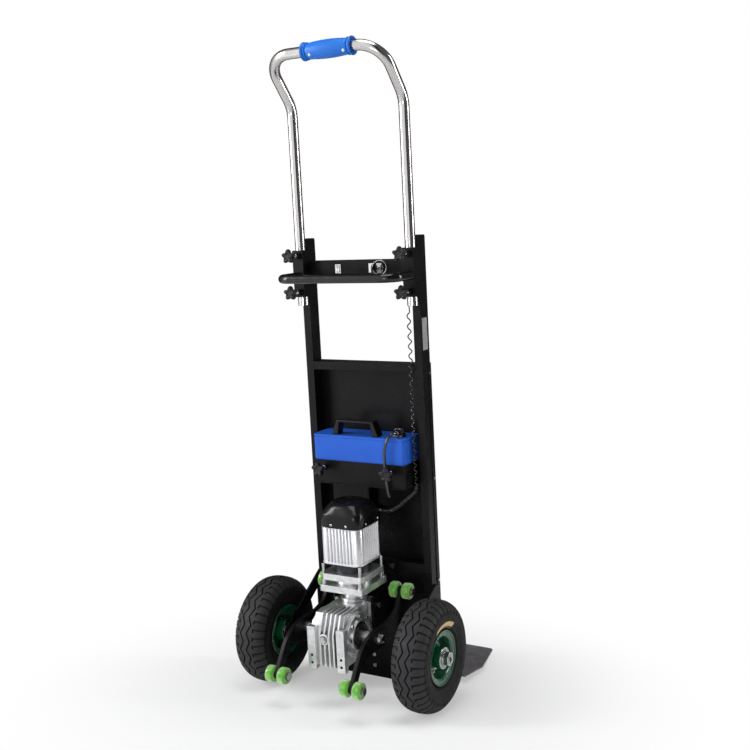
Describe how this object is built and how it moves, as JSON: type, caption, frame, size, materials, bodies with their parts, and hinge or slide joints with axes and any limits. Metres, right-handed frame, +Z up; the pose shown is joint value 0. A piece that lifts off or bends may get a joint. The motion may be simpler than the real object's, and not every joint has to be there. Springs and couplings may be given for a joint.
{
  "type": "stair climbing trolley",
  "caption": "Powered stair climbing trolley: leaning steel frame with sliding U handle, battery, upright motor and worm gearbox turning roller arms, two tyres, folding toe plate.",
  "frame": {"origin": "on the floor, midway between the two tyres, straight under the wheel axle", "axes": "+X to the operator's right, +Y forward towards the toe plate, +Z up; the frame leans back 5.7 degrees, standing on its tyres and the heel of its frame"},
  "size_m": [0.538, 0.6627, 1.5265],
  "materials": {
    "powder_coat": "satin black powder coat",
    "stainless": "satin stainless",
    "zinc": "zinc plated",
    "bare_steel": "machined",
    "grey_paint": "satin grey paint",
    "cast_alloy": "fine cast",
    "motor_alloy": "anodised extrusion",
    "black_plastic": "fine texture",
    "knob_plastic": "fine texture",
    "blue_plastic": "moulded",
    "battery_blue": "satin",
    "white_plastic": "moulded",
    "roller_pu": "translucent polyurethane",
    "rim_green": "gloss green enamel",
    "tyre": "moulded rubber",
    "bronze": "machined bronze",
    "lamination": "lacquered stack",
    "cell_wrap": "shrink wrap",
    "cable": "soft sheath"
  },
  "bodies": {
    "root": {"upright_left": "powder_coat", "upright_right": "powder_coat", "upright_caps": "black_plastic", "frame_crossbars": "powder_coat", "front_panel": "powder_coat", "lower_plate": "powder_coat", "toe_hinge_pin": "zinc", "clamp_sleeves": "powder_coat", "u_bar": "powder_coat", "control_box": "powder_coat", "rocker_bezel": "white_plastic", "key_switch": "zinc", "battery_tray": "powder_coat", "controller_box": "powder_coat", "coil_cord": "cable", "motor_cap": "black_plastic", "motor_body": "motor_alloy", "stator": "lamination", "motor_end_bell": "cast_alloy", "motor_flange": "cast_alloy", "gearbox_housing": "cast_alloy", "gearbox_covers": "cast_alloy", "gearbox_bracket": "powder_coat", "wheel_brackets": "powder_coat", "stub_axles": "zinc", "ball_bearings": "bare_steel", "frame_fasteners": "zinc"},
    "toe_plate": {"toe_plate": "grey_paint"},
    "handle": {"handle_tube": "stainless", "handle_ferrules": "stainless", "handle_grip": "blue_plastic"},
    "rocker_switch": {"rocker_switch": "black_plastic"},
    "ignition_key": {"ignition_key": "zinc"},
    "handle_knob_upper_left": {"handle_knob_upper_left": "knob_plastic"},
    "handle_knob_upper_right": {"handle_knob_upper_right": "knob_plastic"},
    "handle_knob_lower_left": {"handle_knob_lower_left": "knob_plastic"},
    "handle_knob_lower_right": {"handle_knob_lower_right": "knob_plastic"},
    "battery_knob_left": {"battery_knob_left": "knob_plastic"},
    "battery_knob_right": {"battery_knob_right": "knob_plastic"},
    "battery": {"battery_case": "battery_blue", "battery_lid": "battery_blue", "battery_cells": "cell_wrap", "battery_handle": "black_plastic", "battery_lead": "cable"},
    "worm": {"rotor": "bare_steel", "worm_shaft": "bare_steel"},
    "climber": {"climb_shaft": "bare_steel", "worm_wheel": "bronze", "climb_arm_left": "powder_coat", "climb_arm_right": "powder_coat", "climber_bolts": "zinc", "roller_bushes": "black_plastic"},
    "rollers_rear_left": {"rollers_rear_left": "roller_pu"},
    "rollers_front_left": {"rollers_front_left": "roller_pu"},
    "rollers_rear_right": {"rollers_rear_right": "roller_pu"},
    "rollers_front_right": {"rollers_front_right": "roller_pu"},
    "wheel_left": {"rim_left": "rim_green", "tyre_left": "tyre"},
    "wheel_right": {"rim_right": "rim_green", "tyre_right": "tyre"}
  },
  "joints": [
    {"name": "handle_slide", "type": "slide", "parent": "root", "child": "handle", "axis": [0, -0.0999, 0.995], "range_m": [-0.31, 0]},
    {"name": "toe_plate_fold", "type": "hinge", "parent": "root", "child": "toe_plate", "pos_m": [0, 0.19076, 0.02082], "axis": [1, 0, 0], "range_deg": [0, 96]},
    {"name": "climber_turn", "type": "hinge", "parent": "root", "child": "climber", "pos_m": [0.004, -0.04593, 0.16589], "axis": [1, 0, 0], "continuous": true},
    {"name": "worm_spin", "type": "hinge", "parent": "root", "child": "worm", "pos_m": [0.004, 0.01014, 0.2881], "axis": [0, -0.0999, 0.995], "continuous": true},
    {"name": "wheel_left_spin", "type": "hinge", "parent": "root", "child": "wheel_left", "pos_m": [-0.216, 0, 0.13], "axis": [1, 0, 0], "continuous": true},
    {"name": "wheel_right_spin", "type": "hinge", "parent": "root", "child": "wheel_right", "pos_m": [0.216, 0, 0.13], "axis": [1, 0, 0], "continuous": true},
    {"name": "rollers_rear_left_spin", "type": "hinge", "parent": "climber", "child": "rollers_rear_left", "pos_m": [-0.097, -0.15994, 0.07892], "axis": [1, 0, 0], "continuous": true},
    {"name": "rollers_rear_right_spin", "type": "hinge", "parent": "climber", "child": "rollers_rear_right", "pos_m": [0.105, -0.15994, 0.07892], "axis": [1, 0, 0], "continuous": true},
    {"name": "rollers_front_left_spin", "type": "hinge", "parent": "climber", "child": "rollers_front_left", "pos_m": [-0.097, 0.06809, 0.25286], "axis": [1, 0, 0], "continuous": true},
    {"name": "rollers_front_right_spin", "type": "hinge", "parent": "climber", "child": "rollers_front_right", "pos_m": [0.105, 0.06809, 0.25286], "axis": [1, 0, 0], "continuous": true},
    {"name": "handle_knob_upper_left_turn", "type": "hinge", "parent": "root", "child": "handle_knob_upper_left", "pos_m": [-0.1515, -0.03229, 1.05068], "axis": [0, -0.995, -0.0999], "range_deg": [0, 360]},
    {"name": "handle_knob_upper_right_turn", "type": "hinge", "parent": "root", "child": "handle_knob_upper_right", "pos_m": [0.1515, -0.03229, 1.05068], "axis": [0, -0.995, -0.0999], "range_deg": [0, 360]},
    {"name": "handle_knob_lower_left_turn", "type": "hinge", "parent": "root", "child": "handle_knob_lower_left", "pos_m": [-0.1515, -0.0235, 0.96312], "axis": [0, -0.995, -0.0999], "range_deg": [0, 360]},
    {"name": "handle_knob_lower_right_turn", "type": "hinge", "parent": "root", "child": "handle_knob_lower_right", "pos_m": [0.1515, -0.0235, 0.96312], "axis": [0, -0.995, -0.0999], "range_deg": [0, 360]},
    {"name": "battery_knob_left_turn", "type": "hinge", "parent": "root", "child": "battery_knob_left", "pos_m": [-0.094, 0.01918, 0.53826], "axis": [0, -0.995, -0.0999], "range_deg": [0, 360]},
    {"name": "battery_knob_right_turn", "type": "hinge", "parent": "root", "child": "battery_knob_right", "pos_m": [0.094, 0.01918, 0.53826], "axis": [0, -0.995, -0.0999], "range_deg": [0, 360]},
    {"name": "battery_lift", "type": "slide", "parent": "root", "child": "battery", "axis": [0, -0.0999, 0.995], "range_m": [0, 0.12]},
    {"name": "rocker_tip", "type": "hinge", "parent": "root", "child": "rocker_switch", "pos_m": [-0.056, 0.04379, 1.02365], "axis": [1, 0, 0], "range_deg": [-7, 7]},
    {"name": "key_turn", "type": "hinge", "parent": "root", "child": "ignition_key", "pos_m": [0.058, 0.04081, 1.02335], "axis": [0, -0.995, -0.0999], "range_deg": [0, 80]}
  ],
  "couplings": [
    {"joint": "worm_spin", "follows": "climber_turn", "ratio": -30}
  ]
}
